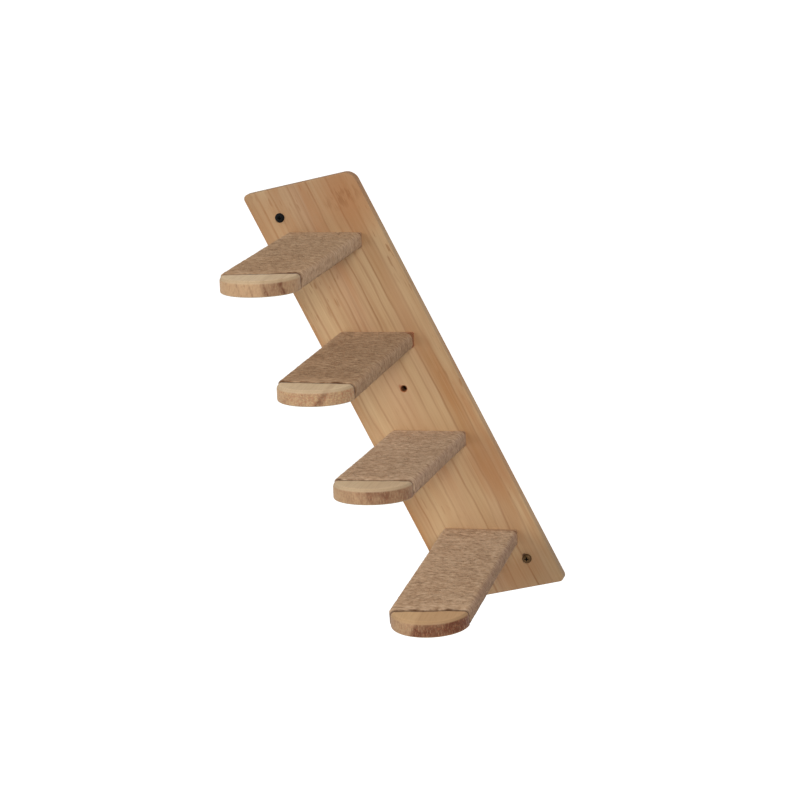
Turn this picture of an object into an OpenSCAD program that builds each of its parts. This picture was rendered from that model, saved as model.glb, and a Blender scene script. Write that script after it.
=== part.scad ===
// Wall stair for a cat: a leaning back board carries four steps that are wound with jute twine.
// The wall is the plane y = 0 and the steps reach out towards -Y. +X is to the right and +Z is up.
// The origin is the middle of the board's back, where the middle wall hole comes out.

/* [Back board] */
// Length of the long edges
board_len = 335; // [315:1:400]
// Width, square to the long edges
board_w = 82; // [76:1:110]
// Thickness
board_t = 10; // [8:0.5:16]
// Radius of the two blunt corners
board_corner_r = 9; // [3:0.5:12]
// Radius of the two pointed corners
board_point_r = 3.5; // [2:0.5:8]
// Lean of the long edges from upright, in degrees
board_lean = 26; // [18:1:30]
// Angle of the two end cuts off square, in degrees
end_slant = 14; // [5:1:20]

/* [Steps] */
// Reach from the board's face to the tip of the nose
step_reach = 200; // [160:1:240]
// Width of a step, twice the radius of its round nose
step_w = 54; // [48:1:58]
// Thickness of a step
step_t = 11; // [10:0.25:13]
// Clear height from one step's top to the underside of the step above
clear_rise = 62; // [58:1:64]
// Bare wood between the board and the winding
step_collar = 3; // [2.5:0.5:12]
// Chamfer along the bare edges
step_ease = 0.8; // [0.4:0.1:1.4]
// Rounding of the nose's top edge
nose_round = 3; // [1:0.25:4]
// Upward tilt of the third step from level, in degrees
step_3_tilt = 2; // [-3:0.5:3]
// Upward tilt of the fourth step from level, in degrees
step_4_tilt = -3; // [-3:0.5:3]

/* [Jute winding] */
// Loops of twine round each step
twine_loops = 23; // [12:1:24]
// Thickness of the wound layer
twine_t = 2; // [1.6:0.1:2.4]
// Gap from one loop to the next
twine_gap = 0.6; // [0.5:0.05:1]
// Straight run at each end of the twine, under the step
twine_end_run = 8; // [7:0.5:12]
// Chamfer of the core that the twine bends round
core_ease = 1.2; // [0.8:0.1:1.4]

/* [Step screws] */
// Diameter of a step screw
step_screw_d = 3.5; // [3:0.1:4]
// Length of a step screw, head included
step_screw_len = 30; // [25:1:34]
// Diameter of its countersunk head
step_screw_head_d = 7; // [6:0.1:8]
// Distance between the two screws of one step
step_screw_spacing = 28; // [20:1:34]

/* [Wall screws] */
// Diameter of the threaded end that goes into the wall
wall_screw_d = 3.5; // [3:0.1:3.8]
// Length of a wall screw behind the board
wall_screw_reach = 30; // [20:1:50]
// Diameter of its raised head
wall_screw_head_d = 7; // [6.5:0.1:9]
// Height of its raised head
wall_screw_head_h = 2.2; // [1.6:0.1:3]
// Diameter of the holes for wall screws
wall_hole_d = 4; // [4:0.1:5.6]
// Distance of the outer wall holes from the ends, along the middle line
wall_hole_end = 16.5; // [14:0.5:24]
// Distance of the outer wall holes from the long edges
wall_hole_side = 18; // [14:0.5:22]

/* [Hidden] */
$fn = 64;

pine = [0.72, 0.57, 0.41];
pine_pale = [0.78, 0.66, 0.50];
jute = [0.62, 0.51, 0.41];
zinc = [0.70, 0.70, 0.68];
black_steel = [0.05, 0.05, 0.06];
bronze_steel = [0.24, 0.19, 0.14];

// Overrun of every cut past the face it opens
cut = 1;
// How far a step's core is let into its collar and nose
core_lap = 1.5;
// Room between the twine and the core under it
twine_seat = 0.1;
// Room between the winding and the two shoulders it lies between
shoulder_room = 0.2;
// Room round a step screw in the wood
screw_room = 0.05;
// Depth of the step screws' heads below the back of the board
head_sink = 0.3;
// Share of the twine's half width that lies flat on the step
twine_flat_share = 0.8;
// Share of a screw's diameter that its thinner shank or driving point keeps
shank_share = 0.9;
tip_share = 0.2;
// Length of a screw's point, in diameters, and its cross recess in head diameters
point_share = 1.2;
recess_len_share = 0.56;
recess_w_share = 0.14;
recess_depth_share = 0.2;

steps = 4;
tilts = [0, 0, step_3_tilt, step_4_tilt];
step_pitch = (clear_rise + step_t) / cos(board_lean);
nose_r = step_w / 2;
band_end = step_reach - nose_r;
band_len = band_end - step_collar;
core_w = step_w - 2 * (twine_t + twine_seat);
core_t = step_t - 2 * (twine_t + twine_seat);
hole_along = board_len / 2 - wall_hole_end;
hole_across = board_w / 2 - wall_hole_side;
step_screw_head_h = (step_screw_head_d - step_screw_d) / 2;

// Points on the board: "across" runs to its right edge and "along" runs up its long edges
function on_board(across, along) = [
    across * cos(board_lean) - along * sin(board_lean),
    across * sin(board_lean) + along * cos(board_lean)
];

// Middle of step i at the board, counted from 1 at the top
function step_at(i) = on_board(0, ((steps + 1) / 2 - i) * step_pitch);

// Right or left screw of step i, with side 1 or -1
function step_screw_at(i, side) = step_at(i) + [side * step_screw_spacing / 2, 0];

// Wall hole at the top with side 1, in the middle with 0 and at the bottom with -1
function wall_hole_at(side) = on_board(-side * hole_across, side * hole_along);

// Outline of the board, on its own axes: a slanted oblong with round corners
function corner_r(right, up) = right == up ? board_corner_r : board_point_r;

function corner_centre(right, up) =
    let (r = corner_r(right, up), across = right * (board_w / 2 - r))
    [across, up * (board_len / 2 - r / cos(end_slant)) - across * tan(end_slant)];

function side_touch(right, up) = corner_centre(right, up) + [right * corner_r(right, up), 0];

function end_touch(right, up) =
    corner_centre(right, up) + up * corner_r(right, up) * [sin(end_slant), cos(end_slant)];

// The plate lies on its back, with its long edges along Y
module board_plate() {
    linear_extrude(board_t)
        polygon([
            side_touch(-1, 1), corner_centre(-1, 1), end_touch(-1, 1),
            end_touch(1, 1), corner_centre(1, 1), side_touch(1, 1),
            side_touch(1, -1), corner_centre(1, -1), end_touch(1, -1),
            end_touch(-1, -1), corner_centre(-1, -1), side_touch(-1, -1)
        ]);
    for (right = [-1, 1], up = [-1, 1])
        translate(corner_centre(right, up))
            cylinder(r = corner_r(right, up), h = board_t);
}

// Puts children that point along +Z on the wall plane at a point, pointing into the room
module out_of_wall(at) {
    translate([at[0], 0, at[1]])
        rotate([90, 0, 0])
            children();
}

module back_board() {
    color(pine)
        difference() {
            rotate([90, -board_lean, 0])
                board_plate();
            for (side = [-1, 0, 1])
                out_of_wall(wall_hole_at(side))
                    translate([0, 0, -cut])
                        cylinder(d = wall_hole_d, h = board_t + 2 * cut);
            for (i = [1 : steps], side = [-1, 1])
                out_of_wall(step_screw_at(i, side))
                    screw_room_in_wood();
        }
}

// Space that a step screw takes, from the back of the board to the end of its point
module screw_room_in_wood() {
    body_d = step_screw_d + 2 * screw_room;
    head_d = step_screw_head_d + 2 * screw_room;
    translate([0, 0, -cut])
        cylinder(d = head_d, h = cut + head_sink);
    translate([0, 0, head_sink])
        cylinder(d1 = head_d, d2 = body_d, h = step_screw_head_h);
    cylinder(d = body_d, h = head_sink + step_screw_len + screw_room);
}

// Oblong with chamfered corners, the section of a step's bare wood and of its core
module plank_section(w, t, ease) {
    polygon([
        [-w / 2 + ease, -t / 2], [w / 2 - ease, -t / 2], [w / 2, -t / 2 + ease], [w / 2, t / 2 - ease],
        [w / 2 - ease, t / 2], [-w / 2 + ease, t / 2], [-w / 2, t / 2 - ease], [-w / 2, -t / 2 + ease]
    ]);
}

// Half-round nose with a rounded top edge, with its flat back on the plane y = 0
module step_nose() {
    top = step_t / 2;
    intersection() {
        rotate_extrude() {
            polygon([
                [0, -top], [nose_r - step_ease, -top], [nose_r, -top + step_ease],
                [nose_r, top - nose_round], [nose_r - nose_round, top], [0, top]
            ]);
            translate([nose_r - nose_round, top - nose_round])
                intersection() {
                    circle(nose_round);
                    square(nose_round);
                }
        }
        translate([-step_w, -step_w, -step_t])
            cube([2 * step_w, step_w, 2 * step_t]);
    }
}

// Puts children that reach out from the origin along -Y on the board's face as step i, tilted with it
module on_step(i) {
    at = step_at(i);
    translate([at[0], -board_t, at[1]])
        rotate([-tilts[i - 1], 0, 0])
            children();
}

// One step, with its back sawn to lie on the board's face and its nose out in the room
module step(i) {
    color(pine_pale)
        difference() {
            on_step(i) {
                translate([0, cut, 0])
                    rotate([90, 0, 0])
                        linear_extrude(step_collar + cut)
                            plank_section(step_w, step_t, step_ease);
                translate([0, core_lap - step_collar, 0])
                    rotate([90, 0, 0])
                        linear_extrude(band_len + 2 * core_lap)
                            plank_section(core_w, core_t, core_ease);
                translate([0, -band_end, 0])
                    step_nose();
            }
            translate([step_at(i)[0] - step_w, -board_t, step_at(i)[1] - step_w])
                cube([2 * step_w, 2 * board_t, 2 * step_w]);
            for (side = [-1, 1])
                out_of_wall(step_screw_at(i, side))
                    screw_room_in_wood();
        }
}

// The winding follows the core's section, half a layer out, and moves on one pitch under the step
lay_w = core_w + twine_t + 2 * twine_seat;
lay_t = core_t + twine_t + 2 * twine_seat;
lay_ease = core_ease + (twine_t / 2 + twine_seat) * (2 - sqrt(2));
under_run = lay_w - 2 * lay_ease;
twine_pitch = (band_len + twine_gap - 2 * shoulder_room) / (twine_loops + 2 * twine_end_run / under_run);
twine_w = twine_pitch - twine_gap;
end_creep = twine_pitch * twine_end_run / under_run;
first_loop_y = -step_collar - shoulder_room - end_creep - twine_w / 2;

// The eight bends of a loop, from the lower right round over the top to the lower left
bends = [
    [lay_w / 2 - lay_ease, -lay_t / 2], [lay_w / 2, -lay_t / 2 + lay_ease],
    [lay_w / 2, lay_t / 2 - lay_ease], [lay_w / 2 - lay_ease, lay_t / 2],
    [-lay_w / 2 + lay_ease, lay_t / 2], [-lay_w / 2, lay_t / 2 - lay_ease],
    [-lay_w / 2, -lay_t / 2 + lay_ease], [-lay_w / 2 + lay_ease, -lay_t / 2]
];
sides = len(bends);

// Direction that points away from the core at bend k, long enough to mitre a turn of an eighth
function mitre(k) =
    let (turn = (k + 1 / 2) * 360 / sides - 90)
    [cos(turn), sin(turn)] / cos(180 / sides);

// Six-sided flat section of the twine: offsets along the step and away from the core
twine_section = [
    [-twine_w / 2, 0], [-twine_flat_share * twine_w / 2, -twine_t / 2],
    [twine_flat_share * twine_w / 2, -twine_t / 2], [twine_w / 2, 0],
    [twine_flat_share * twine_w / 2, twine_t / 2], [-twine_flat_share * twine_w / 2, twine_t / 2]
];

function twine_ring(bend, away, y) = [
    for (s = twine_section) [bend[0] + s[1] * away[0], y + s[0], bend[1] + s[1] * away[1]]
];

function loop_ring(n, k) = twine_ring(bends[k], mitre(k), first_loop_y - n * twine_pitch);

// The unbroken twine: a straight end, every bend of every loop, and a straight end
function twine_rings() = concat(
    [twine_ring(bends[0] - [twine_end_run, 0], [0, -1], first_loop_y + end_creep)],
    [for (n = [0 : twine_loops - 1], k = [0 : sides - 1]) loop_ring(n, k)],
    [twine_ring(bends[sides - 1] + [twine_end_run, 0], [0, -1],
                first_loop_y - (twine_loops - 1) * twine_pitch - end_creep)]
);

// Triangles of a closed tube through rings that all have the same number of points
function tube_faces(rings, around) = concat(
    [for (r = [0 : rings - 2], p = [0 : around - 1], half = [0, 1])
        let (a = r * around + p, b = r * around + (p + 1) % around)
        half == 0 ? [a, b, b + around] : [a, b + around, a + around]],
    [for (p = [1 : around - 2]) [0, p + 1, p]],
    [for (p = [1 : around - 2]) [(rings - 1) * around, (rings - 1) * around + p, (rings - 1) * around + p + 1]]
);

// Least gap of the winding to itself: points along the facing edges of two loops, bend to bend
gap_samples = 6;
function edge_points(n, corner) = [
    for (k = [0 : sides - 1], s = [0 : gap_samples - 1])
        let (from = loop_ring(n, k)[corner],
             to = k < sides - 1 ? loop_ring(n, k + 1)[corner] : loop_ring(n + 1, 0)[corner])
        from + (to - from) * s / gap_samples
];
least_gap = min([for (a = edge_points(0, 0), b = edge_points(1, 3)) norm(a - b)]);
echo(least_gap_of_winding = least_gap, twine_pitch = twine_pitch);

module jute_wrap(i) {
    rings = twine_rings();
    color(jute)
        on_step(i)
            polyhedron(points = [for (r = rings) each r],
                       faces = tube_faces(len(rings), len(twine_section)));
}

// Cross recess of a screw head, cut down from the plane z = 0
module cross_recess(head_d) {
    for (turn = [0, 90])
        rotate(turn)
            translate([-head_d * recess_len_share / 2, -head_d * recess_w_share / 2, -head_d * recess_depth_share])
                cube([head_d * recess_len_share, head_d * recess_w_share, head_d * recess_depth_share + cut]);
}

// Countersunk screw that goes through the board from behind into the end of a step
module step_screw(i, side) {
    point = step_screw_d * point_share;
    color(zinc)
        out_of_wall(step_screw_at(i, side))
            translate([0, 0, head_sink])
                difference() {
                    union() {
                        cylinder(d1 = step_screw_head_d, d2 = step_screw_d, h = step_screw_head_h);
                        translate([0, 0, step_screw_head_h])
                            cylinder(d = step_screw_d, h = step_screw_len - step_screw_head_h - point);
                        translate([0, 0, step_screw_len - point])
                            cylinder(d1 = step_screw_d, d2 = step_screw_d * tip_share, h = point);
                    }
                    rotate([180, 0, 0])
                        cross_recess(step_screw_head_d);
                }
}

// Raised-head screw through an outer wall hole, with its head on the board's face
module wall_screw(side, finish) {
    point = wall_screw_d * point_share;
    head_r = wall_screw_head_d / 2;
    dome_r = (head_r * head_r + wall_screw_head_h * wall_screw_head_h) / (2 * wall_screw_head_h);
    color(finish)
        out_of_wall(wall_hole_at(side)) {
            difference() {
                translate([0, 0, board_t])
                    rotate_extrude()
                        intersection() {
                            translate([0, wall_screw_head_h - dome_r])
                                circle(r = dome_r);
                            square([head_r, wall_screw_head_h]);
                        }
                translate([0, 0, board_t + wall_screw_head_h])
                    cross_recess(wall_screw_head_d);
            }
            cylinder(d = wall_screw_d * shank_share, h = board_t);
            translate([0, 0, point - wall_screw_reach])
                cylinder(d = wall_screw_d, h = wall_screw_reach - point);
            translate([0, 0, -wall_screw_reach])
                cylinder(d1 = wall_screw_d * tip_share, d2 = wall_screw_d, h = point);
        }
}

back_board();
for (i = [1 : steps]) {
    step(i);
    jute_wrap(i);
    step_screw(i, -1);
    step_screw(i, 1);
}
wall_screw(1, black_steel);  // wall_screw_top
wall_screw(-1, bronze_steel);  // wall_screw_bottom
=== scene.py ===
"""Looks of a wall stair for a cat: a leaning pine board, pine steps wound with jute twine, and screws."""

import math
import random

import bmesh
import bpy
from bpy.props import FloatProperty, FloatVectorProperty, IntProperty, PointerProperty
from mathutils import Matrix, Vector, noise


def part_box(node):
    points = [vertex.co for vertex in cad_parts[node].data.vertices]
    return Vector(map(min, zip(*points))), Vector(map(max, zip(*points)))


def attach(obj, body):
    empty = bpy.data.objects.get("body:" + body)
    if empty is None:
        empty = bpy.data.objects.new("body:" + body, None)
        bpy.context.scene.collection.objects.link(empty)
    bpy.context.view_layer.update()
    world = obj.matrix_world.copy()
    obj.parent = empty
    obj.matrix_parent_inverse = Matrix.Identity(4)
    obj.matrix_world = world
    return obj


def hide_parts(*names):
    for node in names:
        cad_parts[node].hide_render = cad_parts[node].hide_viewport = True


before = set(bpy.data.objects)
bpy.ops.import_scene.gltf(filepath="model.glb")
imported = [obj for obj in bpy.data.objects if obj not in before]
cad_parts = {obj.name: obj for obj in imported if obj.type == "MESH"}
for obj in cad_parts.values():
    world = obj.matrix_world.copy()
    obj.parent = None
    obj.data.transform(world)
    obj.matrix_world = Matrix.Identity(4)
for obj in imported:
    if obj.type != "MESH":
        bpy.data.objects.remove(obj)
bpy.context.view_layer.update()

bl_info = {
    "name": "Cat wall stair",
    "version": (1, 0, 0),
    "blender": (4, 5, 0),
    "location": "View3D > Sidebar > Cat stair",
    "description": "Builds the wood, jute windings, screws and studio of a wall stair for a cat",
    "category": "Object",
}

MM = 0.001
BODY = "root"
STEPS = range(1, 5)
SIDES = ("left", "right")
WALL_SCREWS = ("wall_screw_top", "wall_screw_bottom")

BOARD_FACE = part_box("back_board")[0].y
STEP_LOW, STEP_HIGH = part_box("step_1")
WRAP_LOW, WRAP_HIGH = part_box("jute_wrap_1")
SCREW_LOW, SCREW_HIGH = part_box("step_1_screw_left")
WALL_SCREW_LOW, WALL_SCREW_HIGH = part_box("wall_screw_top")

STEP_WIDTH = STEP_HIGH.x - STEP_LOW.x
STEP_THICKNESS = STEP_HIGH.z - STEP_LOW.z
NOSE_RADIUS = STEP_WIDTH / 2
NOSE_AT = STEP_LOW.y + NOSE_RADIUS - BOARD_FACE
BAND_START = WRAP_HIGH.y - BOARD_FACE
BAND_END = WRAP_LOW.y - BOARD_FACE

# How far each winding ends behind the nose's round part, at its left and right edge
SEAM_ENDS = {1: (-2.5 * MM, 4 * MM), 2: (0.0, -4 * MM), 3: (-0.5 * MM, 1.5 * MM), 4: (-7 * MM, -1 * MM)}


def middle(node):
    """Middle of a CAD node's box."""
    low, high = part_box(node)
    return (low + high) / 2


def step_seat(step):
    """Middle of a step's back, on the board's face."""
    seat = (middle(f"step_{step}_screw_left") + middle(f"step_{step}_screw_right")) / 2
    seat.y = BOARD_FACE
    return seat


def step_tilt(step, sizes):
    """Upward tilt of a step from level."""
    return {3: sizes.step_3_tilt, 4: sizes.step_4_tilt}.get(step, 0.0)


def step_place(step, sizes):
    """Puts a shape that reaches out from the origin along -Y in its step's place."""
    return Matrix.Translation(step_seat(step)) @ Matrix.Rotation(-step_tilt(step, sizes), 4, "X")


def seam_line(step):
    """Middle of the slanted end of a winding behind the nose's round part, and its slope across the step."""
    left, right = SEAM_ENDS[step]
    return (left + right) / 2, (right - left) / STEP_WIDTH


# Settings


def srgb(red, green, blue):
    """A screen colour of 0 to 255 a channel, in the scene's linear values."""
    return tuple(
        ((c / 255 + 0.055) / 1.055) ** 2.4 if c > 10 else c / 255 / 12.92 for c in (red, green, blue)
    )


def length(name, description, default):
    """A length property."""
    return FloatProperty(name=name, description=description, default=default, unit="LENGTH", precision=4)


def angle(name, description, degrees):
    """An angle property."""
    return FloatProperty(name=name, description=description, default=math.radians(degrees), unit="ROTATION")


def count(name, description, default, least, most):
    """A property that is a whole number."""
    return IntProperty(name=name, description=description, default=default, min=least, max=most)


def colour(name, description, *screen):
    """A colour property, given as it looks on a screen."""
    return FloatVectorProperty(
        name=name, description=description, default=srgb(*screen), subtype="COLOR", size=3, min=0, max=1
    )


class StairSizes(bpy.types.PropertyGroup):
    """Sizes of the pieces, beside those that the frame gives"""

    board_length: length("Board length", "Length of the board's long edges", 335 * MM)
    board_width: length("Board width", "Width of the board, square to its long edges", 82 * MM)
    board_lean: angle("Board lean", "Lean of the long edges from upright", 26)
    end_slant: angle("End slant", "Angle of the end cuts off square", 14)
    board_corner: length("Blunt corner", "Radius of the board's blunt corners", 9 * MM)
    board_point: length("Pointed corner", "Radius of the board's pointed corners", 3.5 * MM)
    board_ease: length("Board ease", "Rounding of the board's long and end edges", 0.9 * MM)
    wall_hole: length("Wall hole", "Diameter of the holes for wall screws", 4 * MM)
    hole_back: length("Empty hole's back", "Diameter of the middle hole at the wall", 1.9 * MM)
    hole_ease: length("Hole ease", "Width of the worn rim round a wall hole", 0.7 * MM)
    step_ease: length("Step ease", "Rounding of the bare edges of a step", 1.1 * MM)
    nose_round: length("Nose rounding", "Rounding of the nose's top edge", 3 * MM)
    step_3_tilt: angle("Third step's tilt", "Upward tilt of the third step", 2)
    step_4_tilt: angle("Fourth step's tilt", "Upward tilt of the fourth step", -3)
    layer: length("Twine layer", "Thickness of the wound layer", 2.1 * MM)
    core_ease: length("Core ease", "Rounding of the wood under the winding", 1.2 * MM)
    twine: length("Twine", "Diameter of the twine", 2.2 * MM)
    twine_proud: length("Twine stand", "How far the winding stands above the bare wood", 0.6 * MM)
    twine_bend: length("Twine bend", "Radius of the twine's bend at a step's right edge", 3.0 * MM)
    twine_bend_left: length("Left bend", "Radius of the twine's bend at a step's left edge", 1.3 * MM)
    twine_turns: count("Turns", "Turns of twine round a step", 88, 10, 120)
    fibres: count("Fibres", "Loose fibres on each winding", 3000, 0, 5000)
    fibre: length("Fibre", "Thickness of a loose fibre", 0.15 * MM)
    head_sink: length("Head sink", "Depth of the step screws' heads below the back of the board", 0.3 * MM)


class StairColours(bpy.types.PropertyGroup):
    """Colours of the finishes"""

    board_pale: colour("Board, pale", "Pale bands of the board", 210, 175, 131)
    board_tan: colour("Board, tan", "Middle tone of the board", 202, 165, 122)
    board_pink: colour("Board, pink", "Pinkish bands of the board", 201, 161, 122)
    board_warm: colour("Board, warm", "Orange-brown band of the board", 189, 141, 93)
    board_flame: colour("Board, flame", "Orange streaks of the board", 186, 128, 80)
    board_line: colour("Board, line", "Dark lines of the board's grain", 149, 94, 49)
    step_pale: colour("Step, pale", "Pale wood of the steps", 227, 200, 162)
    step_tan: colour("Step, tan", "Darker bands of the steps", 213, 169, 118)
    step_line: colour("Step, line", "Dark lines of the steps' grain", 140, 92, 58)
    end_pale: colour("End grain, pale", "Pale end grain of the noses", 200, 164, 125)
    end_grain: colour("End grain, dark", "Red-brown end grain of the noses", 95, 48, 25)
    # The seam colour is painted shadow of the gap where a winding meets its nose
    seam: colour("Seam", "Dark wood along the end of the winding", 92, 60, 38)
    collar: colour("Collar", "Dusty wood between the winding and the board", 176, 140, 108)
    # The dark wood of a chip, and painted shade deep inside the holes
    drilled: colour("Drilled wood", "Wood inside the holes", 84, 52, 32)
    torn: colour("Torn wood", "Reddish torn wood at the rim of the holes and on the noses", 172, 112, 76)
    torn_pale: colour("Torn wood, pale", "Pale torn wood on the noses", 204, 168, 121)
    jute: colour("Jute", "Middle tone of the jute", 182, 148, 117)
    jute_pale: colour("Jute, pale", "Pale turns and fibres of the jute", 221, 193, 163)
    # Grey fuzz on the windings' sides, partly painted sheen of light on it
    jute_grey_sheen: colour("Jute, grey", "Greyish fuzz on the sides of the windings", 172, 152, 134)
    jute_dark: colour("Jute, dark", "Dark turns of the jute", 124, 92, 67)
    zinc: colour("Zinc", "Zinc plating of the step screws", 196, 196, 192)
    black: colour("Black", "Black finish of the top wall screw", 9, 9, 9)
    bronze: colour("Bronze", "Bronze finish of the bottom wall screw", 78, 57, 33)
    # The recess colour is painted shade inside the cross of the bottom wall screw
    recess: colour("Recess", "Dark recess of the bottom wall screw", 14, 11, 8)


def settings(context):
    """The stair's sizes and colours."""
    return context.scene.stair_sizes, context.scene.stair_colours


# Materials

# Ranges of a noise that take in nearly all of it, most of it, and its middle
FULL_RANGE = (0.2, 0.8)
WIDE_RANGE = (0.25, 0.75)
NARROW_RANGE = (0.3, 0.7)

# Squared distance at which a soft place ends, in its half widths and half heights
SPOT_EDGE = 2.0


class Tree:
    """Short calls that build the nodes of a material or a world."""

    def __init__(self, owner):
        owner.use_nodes = True
        self.owner = owner
        self.nodes = owner.node_tree.nodes
        self.links = owner.node_tree.links

    def feed(self, socket, value):
        """Links a socket, or sets its value."""
        if isinstance(value, bpy.types.NodeSocket):
            self.links.new(value, socket)
        elif socket.type == "RGBA" and len(value) == 3:
            socket.default_value = (*value, 1)
        else:
            socket.default_value = value

    def add(self, kind, inputs=None, **options):
        """A node with its options and inputs."""
        made = self.nodes.new(kind)
        for key, value in options.items():
            setattr(made, key, value)
        for key, value in (inputs or {}).items():
            self.feed(made.inputs[key], value)
        return made

    def sum(self, operation, *values):
        """Result of a Math node."""
        made = self.add("ShaderNodeMath", operation=operation)
        for socket, value in zip(made.inputs, values):
            self.feed(socket, value)
        return made.outputs[0]

    def spread(self, value, low, high, to_low, to_high):
        """A value moved from one range to another, and kept in it."""
        made = self.add("ShaderNodeMapRange", {0: value, 1: low, 2: high, 3: to_low, 4: to_high})
        return made.outputs[0]

    def fade(self, value, start, full, strength=1.0):
        """Grows from 0 to a strength while a value goes from start to full."""
        return self.spread(value, start, full, 0.0, strength)

    def mix(self, factor, first, second, blend="MIX"):
        """A mix of two colours."""
        made = self.add("ShaderNodeMix", {0: factor, 6: first, 7: second}, data_type="RGBA", blend_type=blend)
        return made.outputs[2]

    def lay(self, shade, values, layers, shades):
        """A shade with colours laid over it, from rows of (value, start, full, strength, colour)."""
        for value, start, full, strength, over in layers:
            amount = self.fade(values[value], start, full, strength)
            shade = self.mix(amount, shade, getattr(shades, over))
        return shade

    def ramp(self, factor, stops):
        """A colour ramp through (position, colour) stops, or a grey one through (position, level)."""
        made = self.add("ShaderNodeValToRGB", {0: factor})
        points = made.color_ramp.elements
        for index, (position, shade) in enumerate(stops):
            point = points[index] if index < 2 else points.new(position)
            point.position = position
            point.color = (*shade, 1) if hasattr(shade, "__len__") else (shade, shade, shade, 1)
        return made.outputs[0]

    def place(self, shift=(0, 0, 0), turn=(0, 0, 0)):
        """Object coordinates, moved by shift and then turned."""
        where = self.add("ShaderNodeTexCoord").outputs["Object"]
        moved = self.add("ShaderNodeMapping", {"Vector": where, "Location": shift})
        return self.add("ShaderNodeMapping", {"Vector": moved.outputs[0], "Rotation": turn}).outputs[0]

    def place_on_step(self, step, sizes):
        """Object coordinates of a step as if it stood level with the middle of its back at the origin."""
        return self.place(shift=-step_seat(step), turn=(step_tilt(step, sizes), 0, 0))

    def split(self, vector):
        """The three parts of a vector."""
        return self.add("ShaderNodeSeparateXYZ", {0: vector}).outputs

    def facing(self):
        """The three parts of the direction that the surface faces."""
        return self.split(self.add("ShaderNodeNewGeometry").outputs["Normal"])

    def noises(self, where, table, step=0):
        """Noises by name, from rows of (scale per metre on each axis, detail, shift, 1 if steps differ)."""
        made = {}
        for name, (scale, detail, shift, own) in table.items():
            at = Vector.Fill(3, shift + step * own)
            spot = self.add("ShaderNodeMapping", {"Vector": where, "Scale": scale, "Location": at})
            inputs = {"Vector": spot.outputs[0], "Scale": 1.0, "Detail": detail}
            made[name] = self.add("ShaderNodeTexNoise", inputs).outputs[0]
        return made

    def spot(self, across, up, at, level, wide, tall):
        """A soft round place, 1 in its middle and 0 from its edge on."""
        off = self.sum("DIVIDE", self.sum("SUBTRACT", across, at), wide)
        over = self.sum("DIVIDE", self.sum("SUBTRACT", up, level), tall)
        far = self.sum("ADD", self.sum("MULTIPLY", off, off), self.sum("MULTIPLY", over, over))
        return self.spread(far, 0.0, SPOT_EDGE, 1.0, 0.0)

    def bump(self, height, distance):
        """Raises the surface by a height of 0 to 1 times the distance."""
        made = self.add("ShaderNodeBump", {"Height": height, "Distance": distance, "Strength": 1.0})
        self.set(Normal=made.outputs[0])

    def set(self, **inputs):
        """Sets sockets of a material's shader, with _ for a space in their names."""
        shader = self.nodes["Principled BSDF"]
        for key, value in inputs.items():
            self.feed(shader.inputs[key.replace("_", " ")], value)
        return self.owner


def new_tree(name):
    """The nodes of a new material."""
    return Tree(bpy.data.materials.new(name))


# Noises of the board, as in Tree.noises
BOARD_NOISES = {
    "sway": ((16, 16, 4.5), 2, 3.7, 0),
    "wave": ((50, 50, 22), 2, 7.7, 0),
    "faint": ((40, 40, 7), 2, 1.3, 0),
    "streak": ((260, 260, 5), 2, 4.2, 0),
    "fibre": ((1250, 1250, 26), 3, 0.0, 0),
    "stroke": ((480, 480, 15), 2, 9.1, 0),
    "fleck": ((600, 600, 90), 1, 8.8, 0),
    "flecked": ((20, 20, 12), 1, 2.4, 0),
    "blotch": ((40, 40, 14), 2, 5.5, 0),
    "flame": ((110, 110, 11), 2, 6.6, 0),
    "scratch": ((560, 560, 110), 2, 9.1, 0),
}

# How the board's rings wander: noise, its range, and the most that it moves them
BOARD_DRIFTS = (("sway", WIDE_RANGE, 2.6 * MM), ("wave", NARROW_RANGE, 0.9 * MM))

# How far the rings lean across the board for each unit of its depth
RING_LEAN = 0.45

# Bands of the board: place across it, and colour
BOARD_BANDS = (
    (0.0, "board_warm"), (0.06, "board_tan"), (0.2, "board_pale"), (0.3, "board_tan"), (0.45, "board_pink"),
    (0.6, "board_tan"), (0.69, "board_pale"), (0.745, "board_pale"), (0.765, "board_tan"),
    (0.85, "board_tan"), (0.9, "board_pale"), (1.0, "board_tan"),
)

# Strength of the board's orange-brown band across it, and from its low end to its high end
WARM_ACROSS = ((0.745, 0.0), (0.765, 1.0), (0.85, 1.0), (0.9, 0.0))
WARM_ALONG = ((0.0, 0.3), (0.14, 0.4), (0.22, 1.0), (0.6, 1.0), (0.7, 0.5), (1.0, 0.5))

# Lines of the board's grain: place across it, and darkness
BOARD_LINES = (
    (0.13, 0.6), (0.25, 0.6), (0.4, 0.8), (0.457, 0.3), (0.58, 0.85), (0.68, 0.45), (0.757, 1.0),
    (0.885, 0.6),
)

# Where a line sets in, is darkest and ends, from its place
LINE_SHAPE = (-0.02, -0.004, 0.006)

# Layers over the board's bands, as in Tree.lay
BOARD_LAYERS = (
    ("line", 0.0, 1.0, 1.0, "board_line"),
    ("streak", 0.45, 0.75, 0.16, "board_line"),
    ("fibre", 0.46, 0.68, 0.18, "board_line"),
    ("stroke", 0.5, 0.66, 0.14, "board_flame"),
    ("stroke", 0.5, 0.34, 0.22, "board_pale"),
    ("flecks", 0.0, 1.0, 1.0, "board_line"),
    ("blotch", 0.45, 0.7, 0.5, "board_pink"),
    ("flame", 0.52, 0.72, 0.55, "board_flame"),
)

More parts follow.
